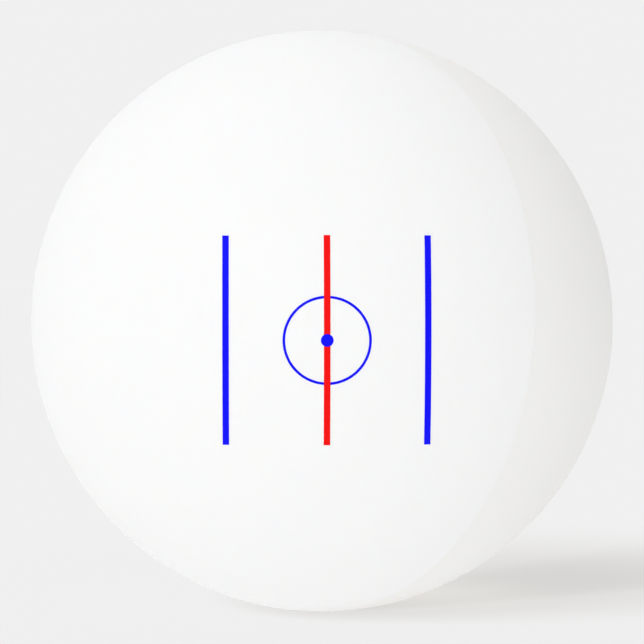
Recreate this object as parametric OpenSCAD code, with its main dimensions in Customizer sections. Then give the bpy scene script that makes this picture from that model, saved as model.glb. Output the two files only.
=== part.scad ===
// Table tennis ball: two thin moulded half shells, cemented together at a lap seam, with five printed
// marks on one half. All sizes are in millimetres.
//
// Origin: the centre of the ball.
// -Y points out through the middle of the printed marks, and +Z runs up along the printed lines.
// The seam is a great circle of its own: its axis, the pole of the printed half, is turned to the left
// of -Y, so the seam passes to the right of the marks.

/* [Ball] */
// Outside diameter of the ball
ball_d = 40; // [38:0.1:44]
// Thickness of the moulded wall
wall_t = 0.5; // [0.4:0.01:0.6]

/* [Seam] */
// Angle from -Y to the pole of the printed half, towards -X, in degrees
seam_yaw = 47; // [35:1:55]
// Angle of that pole above the horizontal, in degrees
seam_tilt = 5; // [-10:0.5:10]
// Thickness of the rim of each half, where the wall is thicker on the inside
rim_t = 0.8; // [0.7:0.01:1]
// Height of the thicker rim on each side of the seam
rim_h = 1.6; // [1.4:0.1:2.4]
// Height of the tongue that reaches across the seam, inside the lip
tongue_h = 1; // [0.6:0.1:1.2]
// Thickness of the film of cement between the two halves
cement_t = 0.04; // [0.02:0.01:0.06]
// Depth of the fine V groove that is left along the seam
groove_d = 0.03; // [0.03:0.01:0.08]

/* [Print] */
// Angle above the horizontal of the direction that the marks are printed from, in degrees
print_tilt = 3.5; // [-10:0.1:10]
// Distance from the centre line to each side line, middle to middle
line_pitch = 6.49; // [4:0.01:8]
// Width of the three lines
line_w = 0.42; // [0.2:0.01:0.6]
// Height of the three lines
line_h = 13.47; // [8:0.01:16]
// Outside diameter of the circle
circle_d = 5.7; // [4:0.01:7]
// Width of the circle's stroke
circle_w = 0.17; // [0.1:0.01:0.3]
// Diameter of the dot in the middle
dot_d = 0.82; // [0.7:0.01:1.2]
// Thickness of the film of ink
ink_t = 0.02; // [0.02:0.005:0.04]

/* [Hidden] */
$fn = 180;

ball_r = ball_d / 2;
inner_r = ball_r - wall_t;
rim_r = ball_r - rim_t;
// The lip and the tongue share the rim's thickness, so their joint is at its middle.
lap_r = ball_r - rim_t / 2;
// Reach of the cutting shapes, well clear of the ball
clear = ball_r + 1;

shell_white = "#FBFBF8";
shell_ivory = "#F3F2EC";
cement_cream = "#E9E7DD";
ink_blue = "#1414FE";
ink_red = "#FA1818";

// Turns the +Z axis onto the pole of the printed half.
module on_pole_axis() {
    rotate([0, 90 - seam_tilt, -90 - seam_yaw]) children();
}

// ---- Half-plane sections, turned about the pole axis: X is the radius and Y the height above the seam

// The wall with its thicker rim, for both halves at once. The ends of the rim slope into the wall.
module wall_section() {
    slope = rim_t - wall_t;
    difference() {
        intersection() {
            circle(r = ball_r);
            translate([0, -clear]) square([clear, 2 * clear]);
        }
        difference() {
            circle(r = inner_r);
            polygon([
                [rim_r, -rim_h], [rim_r + slope, -rim_h - slope], [clear, -rim_h - slope],
                [clear, rim_h + slope], [rim_r + slope, rim_h + slope], [rim_r, rim_h]
            ]);
        }
        translate([ball_r, 0]) rotate(45) square(sqrt(2) * groove_d, center = true);
    }
}

// Everything on the printed half's side of the joint: its lip reaches down outside the tongue.
module lip_side() {
    polygon([
        [0, tongue_h + cement_t], [lap_r + cement_t / 2, tongue_h + cement_t],
        [lap_r + cement_t / 2, cement_t / 2], [clear, cement_t / 2], [clear, clear], [0, clear]
    ]);
}

// Everything on the plain half's side of the joint, its tongue included.
module tongue_side() {
    polygon([
        [0, tongue_h], [lap_r - cement_t / 2, tongue_h],
        [lap_r - cement_t / 2, -cement_t / 2], [clear, -cement_t / 2], [clear, -clear], [0, -clear]
    ]);
}

// ---- Shells and cement

module printed_half_shell() {
    color(shell_white) on_pole_axis() rotate_extrude() intersection() {
        wall_section();
        lip_side();
    }
}

module plain_half_shell() {
    color(shell_ivory) on_pole_axis() rotate_extrude() intersection() {
        wall_section();
        tongue_side();
    }
}

// The cement fills the stepped gap between the lip and the tongue.
module seam_cement() {
    color(cement_cream) on_pole_axis() rotate_extrude() difference() {
        wall_section();
        lip_side();
        tongue_side();
    }
}

// ---- Printed marks: flat artwork, carried straight onto the ball as a thin film of ink

// The artwork's X is the ball's X, and its Y leans back from the ball's Z by print_tilt. The artwork is moved
// down, so that its middle lands on -Y.
module ink_film() {
    intersection() {
        rotate([90 - print_tilt, 0, 0]) translate([0, -ball_r * sin(print_tilt), 0])
            linear_extrude(height = clear) children();
        difference() {
            sphere(r = ball_r + ink_t);
            sphere(r = ball_r);
        }
    }
}

module line_artwork(x) {
    translate([x, 0]) square([line_w, line_h], center = true);
}

module left_line_ink() {
    color(ink_blue) ink_film() line_artwork(-line_pitch);
}

module right_line_ink() {
    color(ink_blue) ink_film() line_artwork(line_pitch);
}

// The centre line stops at the dot, so it is two films.
module centre_line_ink() {
    color(ink_red) ink_film() difference() {
        line_artwork(0);
        circle(d = dot_d);
    }
}

// The circle stops at the centre line, so it is two arcs.
module circle_ink() {
    color(ink_blue) ink_film() difference() {
        circle(d = circle_d);
        circle(d = circle_d - 2 * circle_w);
        line_artwork(0);
    }
}

module centre_dot_ink() {
    color(ink_blue) ink_film() circle(d = dot_d);
}

printed_half_shell();
plain_half_shell();
seam_cement();
left_line_ink();
right_line_ink();
centre_line_ink();
circle_ink();
centre_dot_ink();
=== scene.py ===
"""The looks of the table tennis ball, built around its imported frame.

Every CAD node is stood for by a finer mesh of the same shape and size: two moulded half shells with a lap
joint, the cement between them, and five thin films of ink. All lengths are in metres.
"""

import math

import bmesh
import bpy
import numpy as np
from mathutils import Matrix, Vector

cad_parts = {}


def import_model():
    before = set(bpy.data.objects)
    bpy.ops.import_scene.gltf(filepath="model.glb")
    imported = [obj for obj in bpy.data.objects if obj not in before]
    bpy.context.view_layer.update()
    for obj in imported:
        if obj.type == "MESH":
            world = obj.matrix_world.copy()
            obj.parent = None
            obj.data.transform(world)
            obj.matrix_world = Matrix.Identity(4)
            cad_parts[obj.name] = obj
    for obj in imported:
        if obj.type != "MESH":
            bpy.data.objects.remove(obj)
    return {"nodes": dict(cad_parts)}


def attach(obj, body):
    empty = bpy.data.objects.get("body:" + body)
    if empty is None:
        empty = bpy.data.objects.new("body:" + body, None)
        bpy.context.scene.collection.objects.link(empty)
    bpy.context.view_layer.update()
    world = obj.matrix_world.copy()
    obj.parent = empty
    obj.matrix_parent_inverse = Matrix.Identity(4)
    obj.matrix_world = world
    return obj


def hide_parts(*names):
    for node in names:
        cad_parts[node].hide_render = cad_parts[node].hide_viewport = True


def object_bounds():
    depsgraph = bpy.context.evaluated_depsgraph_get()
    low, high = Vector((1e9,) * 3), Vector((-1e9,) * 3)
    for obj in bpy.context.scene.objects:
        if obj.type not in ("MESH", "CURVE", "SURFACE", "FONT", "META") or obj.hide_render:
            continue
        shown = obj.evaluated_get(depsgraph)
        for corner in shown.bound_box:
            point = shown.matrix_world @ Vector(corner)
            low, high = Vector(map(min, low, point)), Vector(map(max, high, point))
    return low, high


BODY = "root"
MM = 0.001

# Shells: quads along each side of the square patch at a pole, rings from the patch to the seam, the patch's
# share of the way to the seam, how far its sides bulge, and where round the pole its first corner is
PATCH_QUADS = 48
WALL_RINGS = 40
AROUND = 4 * PATCH_QUADS
PATCH_SHARE = 0.45
PATCH_ROUNDNESS = 0.3
FIRST_AZIMUTH = math.radians(-135)

# Shells: longest quad down the joint and the rim, and the angle from which an edge is shaded as sharp
JOINT_STEP = 0.4 * MM
SHARP_ANGLE = math.radians(35)

# Shells, as shares of the ball's radius: heights below which there is rim, and above which there is thin wall
RIM_BELOW = 0.25
WALL_ABOVE = 0.5

# Seam: how far from it the outside starts to turn down to the cement, and how deep it goes there
SHOULDER = 0.11 * MM
SHOULDER_DROP = 0.003 * MM
SHOULDER_RINGS = 6
CEMENT_HOLLOW = 0.002 * MM
CEMENT_STEP = 0.2 * MM

# Print: its CAD nodes, and how far above the horizontal the marks are printed from, as in the CAD
MARKS = ["left_line_ink", "right_line_ink", "centre_line_ink", "circle_ink", "centre_dot_ink"]
PRINT_TILT = math.radians(3.5)

# Ink: how far in from its edge a film reaches its full thickness, and the size of its quads
INK_EDGE = 0.03 * MM
INK_EDGE_STEPS = 4
INK_QUAD = 0.12 * MM
STROKE_QUAD = 0.04 * MM
DOT_QUADS = 8
DOT_RINGS = 8

# Plastic: the sizes of its cloudy patches, of its uneven shine and of its tumbled grain
CLOUD_SIZE = 7 * MM
SHINE_SIZE = 2.4 * MM
GRAIN_SIZE = 0.06 * MM
GRAIN_DEPTH = 0.004 * MM
GRAIN_STRENGTH = 0.12
PLASTIC_ROUGHNESS = (0.5, 0.62)
PLASTIC_GLOSS = 0.3

# Plastic: the share of the light that goes in, how far it reaches, and that reach for red, green and blue
LIGHT_SHARE = 0.5
LIGHT_REACH = 0.03 * MM
LIGHT_REACH_BY_COLOUR = (1.0, 0.9, 0.8)

# Ink: the sizes of its thin spots and of the ripples of its surface
SPOT_SIZE = 0.11 * MM
RIPPLE_SIZE = 0.2 * MM
RIPPLE_DEPTH = 0.003 * MM
RIPPLE_STRENGTH = 0.15
INK_ROUGHNESS = (0.45, 0.6)
INK_GLOSS = 0.1

# Camera
CAMERA_DISTANCE = 260 * MM
CAMERA_AZIMUTH = math.radians(-0.96)
CAMERA_ELEVATION = math.radians(3.57)
CAMERA_SHIFT = -0.0017
LENS = 210.6
SENSOR = 36.0
CLIP_NEAR = 0.1 * CAMERA_DISTANCE
CLIP_FAR = 20 * CAMERA_DISTANCE

# Colours, each as a lighter and a darker shade, or for ink as the full and the thinner shade
FRONT_WHITE = ((0.93, 0.93, 0.93), (0.925, 0.925, 0.924))
REAR_WHITE = ((0.910, 0.904, 0.885), (0.906, 0.900, 0.879))
CEMENT_CREAM = ((0.935, 0.93, 0.905), (0.93, 0.925, 0.898))
BLUE = ((0.001, 0.001, 0.93), (0.003, 0.003, 0.93))
RED = ((0.895, 0.001, 0.001), (0.895, 0.003, 0.003))

# Stage: what the camera sees of the floor is its glow plus what the lights add, and the two make the backdrop
BACKDROP = (0.871, 0.871, 0.871)
FLOOR_COLOUR = (0.04, 0.04, 0.04)
FLOOR_GLOW = (0.65, 0.641, 0.624)
FLOOR_BOUNCE = (0.75, 0.743, 0.724)
FLOOR_RADIUS = 600 * MM
FLOOR_SIDES = 96
UNDER_BALL = (0, 0, 0)

# Where the cast shadow fades out, and where the floor itself does, as distances from under the ball's centre
SHADOW_FADE = (24.7 * MM, 58.4 * MM)
FLOOR_FADE = (120 * MM, 450 * MM)

# Painted pool of light on the floor, standing for light that comes through the ball's thin wall: its middle,
# its reach and its colour
THROUGH_MIDDLE = (7.5 * MM, 8.1 * MM, 0)
THROUGH_REACH = 11 * MM
PAINTED_THROUGH_LIGHT = (0.084, 0.082, 0.065)

# Room light, from its dark side to its bright side
ROOM_AZIMUTH = math.radians(-132)
ROOM_ELEVATION = math.radians(44)
ROOM_DARK = (0.02, 0.02, 0.02)
ROOM_BRIGHT = (1.06, 1.062, 1.062)

# Soft lights: name, azimuth, elevation and spread in degrees, strength, colour
BALL_LIGHTS = [
    ("front_softbox", -20, 15, 50, 0.91, (0.993, 0.997, 1)),
    ("right_fill", 60, 35, 70, 0.64, (1, 0.998, 1)),
]
FLOOR_LIGHTS = [
    ("window", -45.2, 14.2, 36.5, 47, (0.809, 0.856, 1)),
    ("low_window", -49.2, 1.6, 6.4, 165.4, (0.993, 1, 0.947)),
]


# ---------------------------------------------------------------- measures, all taken from the frame

def node_points(frame, node):
    """The vertices of a CAD node as an array of rows."""
    mesh = frame["nodes"][node].data
    points = np.empty(len(mesh.vertices) * 3)
    mesh.vertices.foreach_get("co", points)
    return points.reshape(-1, 3)


def seam_axis(frame):
    """The unit vector from the ball's centre to the pole of the printed half: the normal of the seam ring."""
    ring = node_points(frame, "seam_cement")
    normal = np.linalg.svd(ring - ring.mean(axis=0), full_matrices=False)[2][2]
    towards_print = node_points(frame, "printed_half_shell").mean(axis=0)
    return normal * np.sign(normal @ towards_print)


def about_axis(points, axis):
    """Radius about the axis and height along it, for each point."""
    height = points @ axis
    return np.linalg.norm(points - np.outer(height, axis), axis=1), height


def measure_joint(frame, axis):
    """Radii and heights of the lap joint, read from the cement and the printed half."""
    cement_radius, cement_height = about_axis(node_points(frame, "seam_cement"), axis)
    shell = node_points(frame, "printed_half_shell")
    shell_radius, shell_height = about_axis(shell, axis)
    distance = np.linalg.norm(shell, axis=1)
    ball = distance.max()
    rim = cement_radius.min()
    film = -2 * cement_height.min()
    on_rim = (shell_radius < rim + film) & (shell_height < RIM_BELOW * ball)
    return {
        "ball": ball,
        "inside": distance[shell_height > WALL_ABOVE * ball].min(),
        "rim": rim,
        "lap": (ball + rim) / 2,
        "film": film,
        "tongue": cement_height.max() - film,
        "rim_height": shell_height[on_rim].max(),
    }


# ---------------------------------------------------------------- mesh building

def make_object(name, verts, faces, sharp_angle=SHARP_ANGLE):
    """A smooth-shaded mesh object with its sharp edges marked and its faces turned outwards."""
    mesh = bpy.data.meshes.new(name)
    mesh.from_pydata([tuple(v) for v in verts], [], faces)
    mesh.update()
    work = bmesh.new()
    work.from_mesh(mesh)
    bmesh.ops.recalc_face_normals(work, faces=work.faces)
    work.to_mesh(mesh)
    work.free()
    mesh.shade_smooth()
    mesh.set_sharp_from_angle(angle=sharp_angle)
    piece = bpy.data.objects.new(name, mesh)
    bpy.context.scene.collection.objects.link(piece)
    return piece


def bridge(ring_a, ring_b, faces):
    """Quads between two rings of the same count."""
    for k, (a, b) in enumerate(zip(ring_a, ring_b)):
        after = (k + 1) % len(ring_a)
        faces.append((a, ring_a[after], ring_b[after], b))


def even_azimuths(count):
    return [FIRST_AZIMUTH + math.tau * k / count for k in range(count)]


def add_ring(radius, height, verts):
    """One ring of evenly spaced points about the pole axis. Returns their indices."""
    first = len(verts)
    for azimuth in even_azimuths(AROUND):
        verts.append((radius * math.cos(azimuth), radius * math.sin(azimuth), height))
    return list(range(first, first + AROUND))


def patch_point(u, v, reach):
    """A point of a rounded square patch, as distance and azimuth, for u and v from -1 to 1."""
    x = reach * u * math.sqrt(1 - PATCH_ROUNDNESS * v * v)
    y = reach * v * math.sqrt(1 - PATCH_ROUNDNESS * u * u)
    return math.hypot(x, y), math.atan2(y, x)


def patch_outline(count):
    """Grid positions round the edge of the square patch, anticlockwise from its lower left corner."""
    bottom = [(i, 0) for i in range(count)]
    right = [(count, j) for j in range(count)]
    top = [(count - i, count) for i in range(count)]
    left = [(0, count - j) for j in range(count)]
    return bottom + right + top + left


def grid_cells(wide, tall):
    """The four corners of each cell of a grid of wide by tall points, numbered row by row."""
    cells = []
    for j in range(tall - 1):
        for i in range(wide - 1):
            corner = j * wide + i
            cells.append((corner, corner + 1, corner + wide + 1, corner + wide))
    return cells


def disc_layout(edge, count, rings):
    """All-quad layout of a disc: a rounded square patch in the middle, then rings out to the edge.

    Returns the points as (distance from the middle, azimuth), the quads, and the evenly spaced edge ring.
    """
    wide = count + 1
    points = []
    for j in range(wide):
        for i in range(wide):
            points.append(patch_point(2 * i / count - 1, 2 * j / count - 1, PATCH_SHARE * edge))
    cells = grid_cells(wide, wide)
    ring = [j * wide + i for i, j in patch_outline(count)]
    starts = [points[n] for n in ring]
    for step in range(1, rings + 1):
        t = step / rings
        ease = t * t * (3 - 2 * t)
        first = len(points)
        for (distance, azimuth), even in zip(starts, even_azimuths(len(starts))):
            turn = math.remainder(even - azimuth, math.tau)
            points.append((distance + (edge - distance) * t, azimuth + turn * ease))
        outer = list(range(first, len(points)))
        bridge(ring, outer, cells)
        ring = outer
    return points, cells, ring


# ---------------------------------------------------------------- shells and cement, about +Z as pole axis

def add_cap(radius, edge_height, side, verts, faces):
    """A cap of the sphere, on the side of the seam plane that side (1 or -1) gives. Returns its edge ring."""
    first = len(verts)
    points, cells, ring = disc_layout(math.acos(edge_height / radius), PATCH_QUADS, WALL_RINGS)
    for polar, azimuth in points:
        flat = radius * math.sin(polar)
        verts.append((flat * math.cos(azimuth), flat * math.sin(azimuth), side * radius * math.cos(polar)))
    faces += [tuple(first + n for n in cell) for cell in cells]
    return [first + n for n in ring]


def shoulder_profile(joint):
    """The rounded turn from the ball's surface down to the cement, as (radius, height) points."""
    edge = joint["film"] / 2
    points = []
    for step in range(1, SHOULDER_RINGS + 1):
        turn = step / SHOULDER_RINGS * math.pi / 2
        height = SHOULDER + (edge - SHOULDER) * math.sin(turn)
        drop = SHOULDER_DROP * (1 - math.cos(turn))
        points.append((math.sqrt(joint["ball"] ** 2 - height ** 2) - drop, height))
    return points


def rim_profile(joint):
    """The thicker rim inside, from its seam end up its slope to the thin wall."""
    top = joint["rim_height"] + joint["inside"] - joint["rim"]
    wall = math.sqrt(joint["inside"] ** 2 - top ** 2)
    return [(joint["rim"], joint["rim_height"]), (wall, top)]


def densify(points, longest):
    """The same open outline with no step longer than longest."""
    dense = [points[0]]
    for (r0, h0), (r1, h1) in zip(points, points[1:]):
        steps = max(1, math.ceil(math.hypot(r1 - r0, h1 - h0) / longest))
        for step in range(1, steps + 1):
            t = step / steps
            dense.append((r0 + (r1 - r0) * t, h0 + (h1 - h0) * t))
    return dense


def half_shell(name, joint, joint_face, side):
    """A closed half shell: outside cap, shoulder, faces of the joint, rim and inside cap.

    joint_face is the outline of the joint from the shoulder in to the rim, as (radius, height) points.
    """
    shoulder = [(radius, side * height) for radius, height in shoulder_profile(joint)]
    rim = [(radius, side * height) for radius, height in rim_profile(joint)]
    outline = shoulder[:-1] + densify([shoulder[-1]] + joint_face + rim, JOINT_STEP)
    verts, faces = [], []
    ring = add_cap(joint["ball"], SHOULDER, side, verts, faces)
    for radius, height in outline[:-1]:
        inner = add_ring(radius, height, verts)
        bridge(ring, inner, faces)
        ring = inner
    inside = add_cap(joint["inside"], abs(outline[-1][1]), side, verts, faces)
    bridge(ring, inside, faces)
    return make_object(name, verts, faces)


def printed_half(joint):
    """The half with the lip that reaches down outside the tongue."""
    gap = joint["film"] / 2
    face = [
        (joint["lap"] + gap, gap),
        (joint["lap"] + gap, joint["tongue"] + joint["film"]),
        (joint["rim"], joint["tongue"] + joint["film"]),
    ]
    return half_shell("front_half_shell", joint, face, side=1)


def plain_half(joint):
    """The half with the tongue that reaches up inside the lip."""
    gap = joint["film"] / 2
    face = [
        (joint["lap"] - gap, -gap),
        (joint["lap"] - gap, joint["tongue"]),
        (joint["rim"], joint["tongue"]),
    ]
    return half_shell("rear_half_shell", joint, face, side=-1)


def seam_bond(joint):
    """The cement in the stepped gap, slightly hollow where it shows between the shoulders."""
    gap = joint["film"] / 2
    surface = math.sqrt(joint["ball"] ** 2 - gap ** 2) - SHOULDER_DROP
    outline = [
        (surface, gap), (surface - CEMENT_HOLLOW, 0), (surface, -gap),
        (joint["lap"] - gap, -gap), (joint["lap"] - gap, joint["tongue"]),
        (joint["rim"], joint["tongue"]), (joint["rim"], joint["tongue"] + joint["film"]),
        (joint["lap"] + gap, joint["tongue"] + joint["film"]), (joint["lap"] + gap, gap),
    ]
    outline = densify(outline + outline[:1], CEMENT_STEP)[:-1]
    verts, faces = [], []
    rings = [add_ring(radius, height, verts) for radius, height in outline]
    for ring, after in zip(rings, rings[1:] + rings[:1]):
        bridge(ring, after, faces)
    return make_object("seam_bond", verts, faces)


def turn_onto_axis(piece, axis):
    """Turns a piece built about +Z so that +Z becomes the pole axis."""
    turn = Vector((0, 0, 1)).rotation_difference(Vector(axis))
    piece.data.transform(turn.to_matrix().to_4x4())
    return piece


# ---------------------------------------------------------------- ink films, carried onto the ball from flat

def edge_spaced(length, quad):
    """Positions from 0 to length, close together at both ends where the film's edge is rounded."""
    quarter = math.pi / 2 / INK_EDGE_STEPS
    ends = [INK_EDGE * (1 - math.cos(quarter * step)) for step in range(INK_EDGE_STEPS)]
    inner = length - 2 * INK_EDGE
    steps = max(2, math.ceil(inner / quad))
    middle = [INK_EDGE + inner * step / steps for step in range(steps + 1)]
    return ends + middle + [length - end for end in reversed(ends)]


def edge_height(inset):
    """Share of the full film thickness at a distance in from the film's edge: a quarter round."""
    t = min(1.0, inset / INK_EDGE)
    return math.sqrt(1 - (1 - t) ** 2)


def artwork_points(frame, node, ball):
    """The vertices of a mark as (across, up) in its flat artwork, whose middle is carried onto -Y."""
    points = node_points(frame, node)
    up = points[:, 1] * math.sin(PRINT_TILT) + points[:, 2] * math.cos(PRINT_TILT)
    return np.stack((points[:, 0], up + ball * math.sin(PRINT_TILT)), axis=1)


class Film:
    """A closed film of ink that is gathered from flat patches of quads."""

    def __init__(self, ball, thickness):
        self.ball = ball
        self.thickness = thickness
        self.verts = []
        self.faces = []

    def carried(self, across, up, radius):
        """The point of the sphere of this radius that a point of the flat artwork is carried onto."""
        rise = up - self.ball * math.sin(PRINT_TILT)
        depth = math.sqrt(radius * radius - across * across - rise * rise)
        return (
            across,
            rise * math.sin(PRINT_TILT) - depth * math.cos(PRINT_TILT),
            rise * math.cos(PRINT_TILT) + depth * math.sin(PRINT_TILT),
        )

    def add_patch(self, points, insets, cells):
        """Adds quads on the ball and over the ink. The two meet in one vertex where the inset is 0."""
        lower, upper = [], []
        for (across, up), inset in zip(points, insets):
            lower.append(len(self.verts))
            self.verts.append(self.carried(across, up, self.ball))
            if inset > 0:
                lift = self.thickness * edge_height(inset)
                self.verts.append(self.carried(across, up, self.ball + lift))
            upper.append(len(self.verts) - 1)
        self.faces += [tuple(upper[n] for n in cell) for cell in cells]
        self.faces += [tuple(lower[n] for n in reversed(cell)) for cell in cells]

    def add_strip(self, columns, rows, place):
        """Adds a strip over a grid of distances along it. place gives the artwork's across and up."""
        points, insets = [], []
        for row in rows:
            for column in columns:
                points.append(place(column, row))
                insets.append(min(column, columns[-1] - column, row, rows[-1] - row))
        self.add_patch(points, insets, grid_cells(len(columns), len(rows)))

    def finish(self, name):
        return make_object(name, self.verts, self.faces, sharp_angle=math.pi)


def line_film(name, film, flat):
    """A straight printed line, from the artwork points of its CAD node."""
    left, bottom = flat.min(axis=0)
    right, top = flat.max(axis=0)
    columns = edge_spaced(right - left, INK_QUAD)
    rows = edge_spaced(top - bottom, INK_QUAD)
    film.add_strip(columns, rows, lambda column, row: (left + column, bottom + row))
    return film.finish(name)


def split_line_film(name, film, flat, dot_radius):
    """The centre line in two lengths, each ending on the round edge of the dot."""
    half_line, top = flat.max(axis=0)
    columns = edge_spaced(2 * half_line, INK_QUAD)
    length = top - dot_radius
    rows = edge_spaced(length, INK_QUAD)
    for side in (1, -1):
        def place(column, row):
            across = column - half_line
            start = math.sqrt(dot_radius ** 2 - across * across)
            return across, side * (start + (top - start) * row / length)
        film.add_strip(columns, rows, place)
    return film.finish(name)


def circle_film(name, film, inner, outer, half_line):
    """The circle in two arcs, each ending on the straight edges of the centre line."""
    columns = edge_spaced(outer - inner, STROKE_QUAD)
    length = math.pi * outer - 2 * half_line
    rows = edge_spaced(length, INK_QUAD)
    for side in (1, -1):
        def place(column, row):
            radius = inner + column
            start = math.asin(half_line / radius)
            angle = start + (math.pi - 2 * start) * row / length
            return side * radius * math.sin(angle), radius * math.cos(angle)
        film.add_strip(columns, rows, place)
    return film.finish(name)


def dot_film(name, film, radius):
    """The round dot: a disc of quads out to its rounded edge, then close rings over that edge."""
    points, cells, ring = disc_layout(radius - INK_EDGE, DOT_QUADS, DOT_RINGS)
    azimuths = even_azimuths(len(ring))
    for step in range(1, INK_EDGE_STEPS + 1):
        turn = step / INK_EDGE_STEPS * math.pi / 2
        first = len(points)
        points += [(radius - INK_EDGE * (1 - math.sin(turn)), azimuth) for azimuth in azimuths]
        outer = list(range(first, len(points)))
        bridge(ring, outer, cells)
        ring = outer
    on_edge = set(ring)
    insets = [0 if n in on_edge else radius - points[n][0] for n in range(len(points))]
    flat = [(distance * math.cos(azimuth), distance * math.sin(azimuth)) for distance, azimuth in points]
    film.add_patch(flat, insets, cells)
    return film.finish(name)


# ---------------------------------------------------------------- materials

class Nodes:
    """Small helper that adds and links shader nodes of one node tree."""

    def __init__(self, tree):
        self.tree = tree
        tree.nodes.clear()

    def add(self, kind, **settings):
        node = self.tree.nodes.new(kind)
        for key, value in settings.items():
            setattr(node, key, value)
        return node

    def link(self, out_socket, in_socket):
        self.tree.links.new(out_socket, in_socket)

    def noise(self, coords, size, detail):
        """Noise from 0 to 1 whose patches are about this size."""
        node = self.add("ShaderNodeTexNoise")
        node.inputs["Scale"].default_value = 1 / size
        node.inputs["Detail"].default_value = detail
        self.link(coords, node.inputs["Vector"])
        return node.outputs["Fac"]

    def remap(self, value, low, high):
        """value from 0..1 to low..high."""
        node = self.add("ShaderNodeMapRange")
        node.inputs["To Min"].default_value = low
        node.inputs["To Max"].default_value = high
        self.link(value, node.inputs["Value"])
        return node.outputs["Result"]

    def mix_colour(self, factor, colour_a, colour_b):
        node = self.add("ShaderNodeMix", data_type="RGBA")
        self.link(factor, node.inputs["Factor"])
        node.inputs["A"].default_value = (*colour_a, 1)
        node.inputs["B"].default_value = (*colour_b, 1)
        return node.outputs["Result"]

    def mix_shaders(self, factor, shader_a, shader_b):
        node = self.add("ShaderNodeMixShader")
        self.link(factor, node.inputs["Fac"])
        self.link(shader_a, node.inputs[1])
        self.link(shader_b, node.inputs[2])
        return node.outputs["Shader"]

    def add_shaders(self, shader_a, shader_b):
        node = self.add("ShaderNodeAddShader")
        self.link(shader_a, node.inputs[0])
        self.link(shader_b, node.inputs[1])
        return node.outputs["Shader"]

    def bump(self, height, strength, depth):
        node = self.add("ShaderNodeBump")
        node.inputs["Strength"].default_value = strength
        node.inputs["Distance"].default_value = depth
        self.link(height, node.inputs["Height"])
        return node.outputs["Normal"]


def new_material(name):
    material = bpy.data.materials.new(name)
    material.use_nodes = True
    return material, Nodes(material.node_tree)


def principled(nodes, colour, roughness, normal, gloss):
    """A Principled shader with these inputs, linked to the material's output."""
    shader = nodes.add("ShaderNodeBsdfPrincipled")
    nodes.link(colour, shader.inputs["Base Color"])
    nodes.link(roughness, shader.inputs["Roughness"])
    nodes.link(normal, shader.inputs["Normal"])
    shader.inputs["Specular IOR Level"].default_value = gloss
    output = nodes.add("ShaderNodeOutputMaterial")
    nodes.link(shader.outputs["BSDF"], output.inputs["Surface"])
    return shader


def moulded_plastic(name, light, dark):
    """Matt moulded plastic: cloudy body colour, uneven shine, fine tumbled grain, and some light let in."""
    material, nodes = new_material(name)
    coords = nodes.add("ShaderNodeTexCoord").outputs["Object"]
    cloud = nodes.noise(coords, CLOUD_SIZE, detail=3)
    shine = nodes.noise(coords, SHINE_SIZE, detail=4)
    grain = nodes.noise(coords, GRAIN_SIZE, detail=2)
    shader = principled(
        nodes,
        colour=nodes.mix_colour(cloud, dark, light),
        roughness=nodes.remap(shine, *PLASTIC_ROUGHNESS),
        normal=nodes.bump(grain, GRAIN_STRENGTH, GRAIN_DEPTH),
        gloss=PLASTIC_GLOSS,
    )
    shader.inputs["Subsurface Weight"].default_value = LIGHT_SHARE
    shader.inputs["Subsurface Radius"].default_value = LIGHT_REACH_BY_COLOUR
    shader.inputs["Subsurface Scale"].default_value = LIGHT_REACH
    return material


def printed_ink(name, colour, thin_colour):
    """A printed film of ink: strong even colour, slightly thinner in spots, with a soft rippled face."""
    material, nodes = new_material(name)
    coords = nodes.add("ShaderNodeTexCoord").outputs["Object"]
    spots = nodes.noise(coords, SPOT_SIZE, detail=2)
    ripple = nodes.noise(coords, RIPPLE_SIZE, detail=1)
    principled(
        nodes,
        colour=nodes.mix_colour(spots, thin_colour, colour),
        roughness=nodes.remap(ripple, *INK_ROUGHNESS),
        normal=nodes.bump(ripple, RIPPLE_STRENGTH, RIPPLE_DEPTH),
        gloss=INK_GLOSS,
    )
    return material


# ---------------------------------------------------------------- stage

def seen_or_not(nodes, seen, unseen):
    """Two shaders in one: the first for what the camera sees, the second for the light that is given off."""
    path = nodes.add("ShaderNodeLightPath")
    return nodes.mix_shaders(path.outputs["Is Camera Ray"], unseen, seen)


def glow(nodes, colour):
    node = nodes.add("ShaderNodeEmission")
    node.inputs["Color"].default_value = (*colour, 1)
    return node.outputs["Emission"]


def fade(nodes, middle, start, end):
    """A smooth rise with distance from the middle, from 0 at the start distance to 1 at the end distance."""
    distance = nodes.add("ShaderNodeVectorMath", operation="DISTANCE")
    nodes.link(nodes.add("ShaderNodeTexCoord").outputs["Object"], distance.inputs[0])
    distance.inputs[1].default_value = middle
    rise = nodes.add("ShaderNodeMapRange", interpolation_type="SMOOTHSTEP")
    rise.inputs["From Min"].default_value = start
    rise.inputs["From Max"].default_value = end
    nodes.link(distance.outputs["Value"], rise.inputs["Value"])
    return rise.outputs["Result"]


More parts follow.
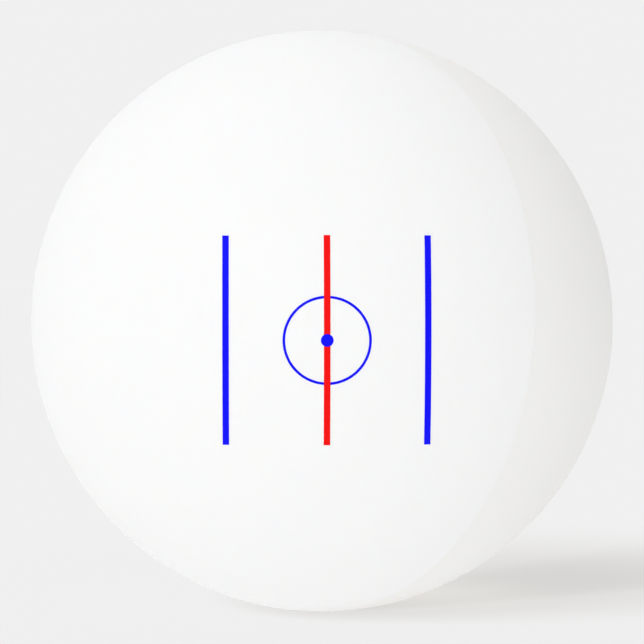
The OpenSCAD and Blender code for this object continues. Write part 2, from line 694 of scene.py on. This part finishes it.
def floor_material():
    """Pale lit floor with a painted pool of light beside the ball. Its cast shadow fades out near the ball,
    and the floor itself farther out.
    """
    material, nodes = new_material("stage_floor")
    diffuse = nodes.add("ShaderNodeBsdfDiffuse")
    diffuse.inputs["Color"].default_value = (*FLOOR_COLOUR, 1)
    lit = nodes.add_shaders(diffuse.outputs["BSDF"], glow(nodes, FLOOR_GLOW))
    # Painted light: a glow beside the ball that lightens the cast shadow, seen only by the camera
    painted_through_lit = nodes.add_shaders(lit, glow(nodes, PAINTED_THROUGH_LIGHT))
    lit = nodes.mix_shaders(fade(nodes, THROUGH_MIDDLE, 0, THROUGH_REACH), painted_through_lit, lit)
    seen = nodes.mix_shaders(fade(nodes, UNDER_BALL, *SHADOW_FADE), lit, glow(nodes, BACKDROP))
    unseen = nodes.add_shaders(diffuse.outputs["BSDF"], glow(nodes, FLOOR_BOUNCE))
    surface = seen_or_not(nodes, seen, unseen)
    clear = nodes.add("ShaderNodeBsdfTransparent")
    surface = nodes.mix_shaders(fade(nodes, UNDER_BALL, *FLOOR_FADE), surface, clear.outputs["BSDF"])
    output = nodes.add("ShaderNodeOutputMaterial")
    nodes.link(surface, output.inputs["Surface"])
    return material


def add_floor(height):
    """A round floor at this height, under the ball."""
    bpy.ops.mesh.primitive_circle_add(
        vertices=FLOOR_SIDES, radius=FLOOR_RADIUS, fill_type="NGON", location=(0, 0, height)
    )
    floor = bpy.context.object
    floor.name = "stage_floor"
    floor.data.materials.append(floor_material())
    return floor


def direction(azimuth, elevation):
    """Unit vector towards a point seen at this azimuth and elevation: azimuth 0 is in front of the print."""
    return Vector((
        math.sin(azimuth) * math.cos(elevation),
        -math.cos(azimuth) * math.cos(elevation),
        math.sin(elevation),
    ))


def set_world():
    """An even backdrop for the camera, and room light that grows from the dark side to the bright side."""
    world = bpy.data.worlds.new("studio")
    bpy.context.scene.world = world
    world.use_nodes = True
    nodes = Nodes(world.node_tree)
    coords = nodes.add("ShaderNodeTexCoord").outputs["Generated"]
    along = nodes.add("ShaderNodeVectorMath", operation="DOT_PRODUCT", name="bright_side")
    nodes.link(coords, along.inputs[0])
    along.inputs[1].default_value = direction(ROOM_AZIMUTH, ROOM_ELEVATION)
    share = nodes.add("ShaderNodeMapRange")
    share.inputs["From Min"].default_value = -1
    nodes.link(along.outputs["Value"], share.inputs["Value"])
    room = nodes.add("ShaderNodeBackground", name="room")
    nodes.link(nodes.mix_colour(share.outputs["Result"], ROOM_DARK, ROOM_BRIGHT), room.inputs["Color"])
    seen = nodes.add("ShaderNodeBackground", name="backdrop")
    seen.inputs["Color"].default_value = (*BACKDROP, 1)
    output = nodes.add("ShaderNodeOutputWorld")
    light = seen_or_not(nodes, seen=seen.outputs["Background"], unseen=room.outputs["Background"])
    nodes.link(light, output.inputs["Surface"])


def add_softbox(name, azimuth, elevation, spread, strength, colour, lit):
    """A distant soft light that lights only the pieces in lit."""
    data = bpy.data.lights.new(name, "SUN")
    data.energy = strength
    data.color = colour
    data.angle = math.radians(spread)
    lamp = bpy.data.objects.new(name, data)
    bpy.context.scene.collection.objects.link(lamp)
    towards = direction(math.radians(azimuth), math.radians(elevation))
    lamp.rotation_mode = "QUATERNION"
    lamp.rotation_quaternion = towards.to_track_quat("Z", "Y")
    receivers = bpy.data.collections.new(name + "_receivers")
    for piece in lit:
        receivers.objects.link(piece)
    lamp.light_linking.receiver_collection = receivers
    return lamp


def add_camera():
    data = bpy.data.cameras.new("camera")
    data.lens = LENS
    data.sensor_width = SENSOR
    data.shift_y = CAMERA_SHIFT
    data.clip_start = CLIP_NEAR
    data.clip_end = CLIP_FAR
    camera = bpy.data.objects.new("camera", data)
    bpy.context.scene.collection.objects.link(camera)
    back = direction(CAMERA_AZIMUTH, CAMERA_ELEVATION)
    camera.location = back * CAMERA_DISTANCE
    camera.rotation_mode = "QUATERNION"
    camera.rotation_quaternion = (-back).to_track_quat("-Z", "Y")
    bpy.context.scene.camera = camera


# ---------------------------------------------------------------- build

def dress(piece, node, slot, material):
    """Stands a piece in for its CAD node, on the ball's one body."""
    piece.data.materials.append(material)
    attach(piece, BODY)
    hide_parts(node)
    return piece


def build_shells(frame):
    """The two half shells and the cement between them."""
    axis = seam_axis(frame)
    joint = measure_joint(frame, axis)
    parts = [
        (printed_half(joint), "printed_half_shell", "front_shell_plastic", FRONT_WHITE),
        (plain_half(joint), "plain_half_shell", "rear_shell_plastic", REAR_WHITE),
        (seam_bond(joint), "seam_cement", "cement", CEMENT_CREAM),
    ]
    pieces = []
    for piece, node, slot, (light, dark) in parts:
        turn_onto_axis(piece, axis)
        pieces.append(dress(piece, node, slot, moulded_plastic(slot, light, dark)))
    return pieces


def build_print(frame):
    """The five films of ink on the printed half."""
    ball = np.linalg.norm(node_points(frame, "printed_half_shell"), axis=1).max()
    thickness = np.linalg.norm(node_points(frame, "centre_line_ink"), axis=1).max() - ball
    flat = {node: artwork_points(frame, node, ball) for node in MARKS}
    dot_radius = flat["centre_dot_ink"][:, 0].max()
    half_line = flat["centre_line_ink"][:, 0].max()
    stroke = np.linalg.norm(flat["circle_ink"], axis=1)
    blue = printed_ink("blue_ink", *BLUE)
    red = printed_ink("red_ink", *RED)

    def film():
        return Film(ball, thickness)

    left = line_film("mark_left_line", film(), flat["left_line_ink"])
    right = line_film("mark_right_line", film(), flat["right_line_ink"])
    centre = split_line_film("mark_centre_line", film(), flat["centre_line_ink"], dot_radius)
    circle = circle_film("mark_circle", film(), stroke.min(), stroke.max(), half_line)
    dot = dot_film("mark_centre_dot", film(), dot_radius)
    return [
        dress(left, "left_line_ink", "blue_ink", blue),
        dress(right, "right_line_ink", "blue_ink", blue),
        dress(centre, "centre_line_ink", "red_ink", red),
        dress(circle, "circle_ink", "blue_ink", blue),
        dress(dot, "centre_dot_ink", "blue_ink", blue),
    ]


def plain_corners(bounds):
    return [list(corner) for corner in bounds]


def main():
    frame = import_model()
    cad_box = plain_corners(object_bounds())
    pieces = build_shells(frame) + build_print(frame)
    floor = add_floor(cad_box[0][2])
    set_world()
    for name, azimuth, elevation, spread, strength, colour in BALL_LIGHTS:
        add_softbox(name, azimuth, elevation, spread, strength, colour, lit=pieces)
    for name, azimuth, elevation, spread, strength, colour in FLOOR_LIGHTS:
        add_softbox(name, azimuth, elevation, spread, strength, colour, lit=[floor])
    add_camera()
    bpy.context.scene.view_settings.view_transform = "Standard"


main()
